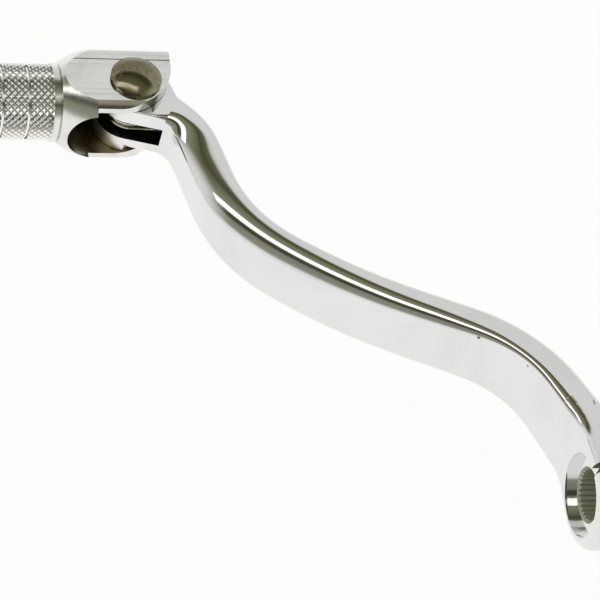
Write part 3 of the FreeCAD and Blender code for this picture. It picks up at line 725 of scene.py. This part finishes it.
def bolt_steel():
    """Zinc-plated steel with a faint film and fine rubbed lines."""
    material, tree, shader, place = new_metal("bolt_steel")
    film = pattern(tree, smudges, place, scale=300.0)
    rubbed = pattern(tree, hairlines, stretched(tree, place, (4, 1, 1)), scale=700.0, share=0.5)
    speck = pattern(tree, pits, place, scale=1400.0, share=0.08)
    colour = tint(tree, film, (0.66, 0.66, 0.64), (0.52, 0.53, 0.50))
    colour = tint(tree, speck, colour, (0.2, 0.18, 0.14))
    plug(tree, shader.inputs["Base Color"], colour)
    gloss = figure(tree, "ADD", between(tree, film, 0.2, 0.34), product(tree, rubbed, 0.08))
    plug(tree, shader.inputs["Roughness"], gloss)
    relief(tree, shader, rubbed, 0.006 * mm, 0.5)
    return material


def dress(piece, material):
    """Gives a piece its one material."""
    piece.data.materials.clear()
    piece.data.materials.append(material)


alloy_turned = turned_alloy()
alloy_polished = polished_alloy()
dress(frame["nodes"]["lever_arm"], alloy_polished)
dress(arm, alloy_polished)
dress(frame["nodes"]["toe_peg"], alloy_turned)
dress(frame["nodes"]["pivot_rivet"], rivet_steel())
dress(frame["nodes"]["pinch_bolt"], bolt_steel())
dress(knurl, alloy_turned)
dress(spring, spring_steel())

# Camera at the photograph's angle
camera_data = bpy.data.cameras.new("camera")
camera = bpy.data.objects.new("camera", camera_data)
bpy.context.scene.collection.objects.link(camera)
camera_data.sensor_width = 36
camera_data.lens = 156
camera_tilt = math.radians(15.5)
camera_height = math.radians(54.3)
side_turn = Vector((0, math.sin(camera_tilt), 0))
back = side_turn + math.cos(camera_tilt) * Vector((-math.cos(camera_height), 0, math.sin(camera_height)))
up = Vector((math.sin(camera_height), 0, math.cos(camera_height)))
right = up.cross(back)
camera_place = Matrix.Translation((-0.24604, 0.19695, 0.40772))
camera.matrix_world = camera_place @ Matrix((right, up, back)).transposed().to_4x4()
bpy.context.scene.camera = camera

# Floor: white to the camera and in the metal, with a faint shadow under the lever
floor_height = cad_box[0][2] - 0.1 * mm
floor = start_piece("floor", bpy.ops.mesh.primitive_plane_add, size=6, location=(0, 0, floor_height))
paper = bpy.data.materials.new("floor_paper")
paper.use_nodes = True
tree = paper.node_tree
tree.nodes.remove(tree.nodes["Principled BSDF"])
plain = node(tree, "ShaderNodeBsdfDiffuse", {"Color": (0.9, 0.9, 0.9, 1)}).outputs[0]
glow = node(tree, "ShaderNodeEmission", {"Color": (1, 1, 1, 1), "Strength": 1.0}).outputs[0]
ray = node(tree, "ShaderNodeLightPath").outputs
seen = figure(tree, "MAXIMUM", ray["Is Camera Ray"], figure(tree, "MAXIMUM", ray["Is Glossy Ray"],
                                                            ray["Is Transmission Ray"]))
cover = node(tree, "ShaderNodeMixShader", {0: product(tree, seen, 0.97), 1: plain, 2: glow})
tree.links.new(cover.outputs[0], tree.nodes["Material Output"].inputs["Surface"])
dress(floor, paper)

# Studio walls round the lever: pale in front, a dark olive ceiling, and the dim room behind the camera
towards_camera = Vector((back.x, back.y, 0)).normalized()
to_the_right = Vector((-towards_camera.y, towards_camera.x, 0))
panels = [
    (0, (0.90, 0.90, 0.90)),
    (14, (0.79, 0.79, 0.79)),
    (28, (0.75, 0.755, 0.745)),
    (50, (0.77, 0.775, 0.765)),
    (57, (0.62, 0.63, 0.59)),
    (62, (0.13, 0.135, 0.08)),
    (72, (0.07, 0.075, 0.04)),
    (80, (0.16, 0.165, 0.10)),
    (95, (0.24, 0.245, 0.17)),
    (122, (0.30, 0.29, 0.22)),
    (128, (0.05, 0.045, 0.03)),
    (137, (0.07, 0.07, 0.045)),
    (143, (0.25, 0.25, 0.20)),
    (157, (0.27, 0.28, 0.22)),
    (165, (0.33, 0.34, 0.28)),
    (172, (0.86, 0.86, 0.86)),
    (180, (0.92, 0.92, 0.92)),
]
world = bpy.data.worlds.new("studio")
bpy.context.scene.world = world
world.use_nodes = True
tree = world.node_tree
way = node(tree, "ShaderNodeTexCoord").outputs["Generated"]
dots = [node(tree, "ShaderNodeVectorMath", {0: way, 1: side}, operation="DOT_PRODUCT")
        for side in (-towards_camera, to_the_right)]
ahead, aside = [dot.outputs["Value"] for dot in dots]
turn = figure(tree, "DIVIDE", figure(tree, "ARCTAN2", parts_of(tree, way)[2], ahead), math.pi)
walls = node(tree, "ShaderNodeValToRGB", {"Fac": turn})
stops = walls.color_ramp.elements
stops.remove(stops[1])
for number, (degrees, colour) in enumerate(panels):
    stop = stops[0] if number == 0 else stops.new(degrees / 180)
    stop.position = degrees / 180
    stop.color = (*colour, 1)
middle = product(tree, span(tree, aside, -1.0, -0.8), span(tree, aside, 0.95, 0.6))
colour = tint(tree, middle, (0.84, 0.84, 0.83), walls.outputs["Color"])
plug(tree, tree.nodes["Background"].inputs["Color"], colour)
tree.nodes["Background"].inputs["Strength"].default_value = 1

# Long soft lamp above the camera
lamp_data = bpy.data.lights.new("strip_lamp", "AREA")
lamp_data.shape = "RECTANGLE"
lamp_data.size = 2.6
lamp_data.size_y = 0.36
lamp_data.energy = 3.7
lamp = bpy.data.objects.new("strip_lamp", lamp_data)
bpy.context.scene.collection.objects.link(lamp)
lamp_turn = math.radians(112)
lamp_distance = 1.2
lamp_shift = 0.95
lamp_way = math.sin(lamp_turn) * Vector((0, 0, 1)) - math.cos(lamp_turn) * towards_camera
lamp_rows = Matrix((to_the_right, lamp_way.cross(to_the_right), lamp_way)).transposed().to_4x4()
middle_of_part = (Vector(cad_box[0]) + Vector(cad_box[1])) / 2
lamp_place = middle_of_part + lamp_distance * lamp_way - lamp_shift * to_the_right
lamp.matrix_world = Matrix.Translation(lamp_place) @ lamp_rows
bpy.context.scene.view_settings.view_transform = "Standard"
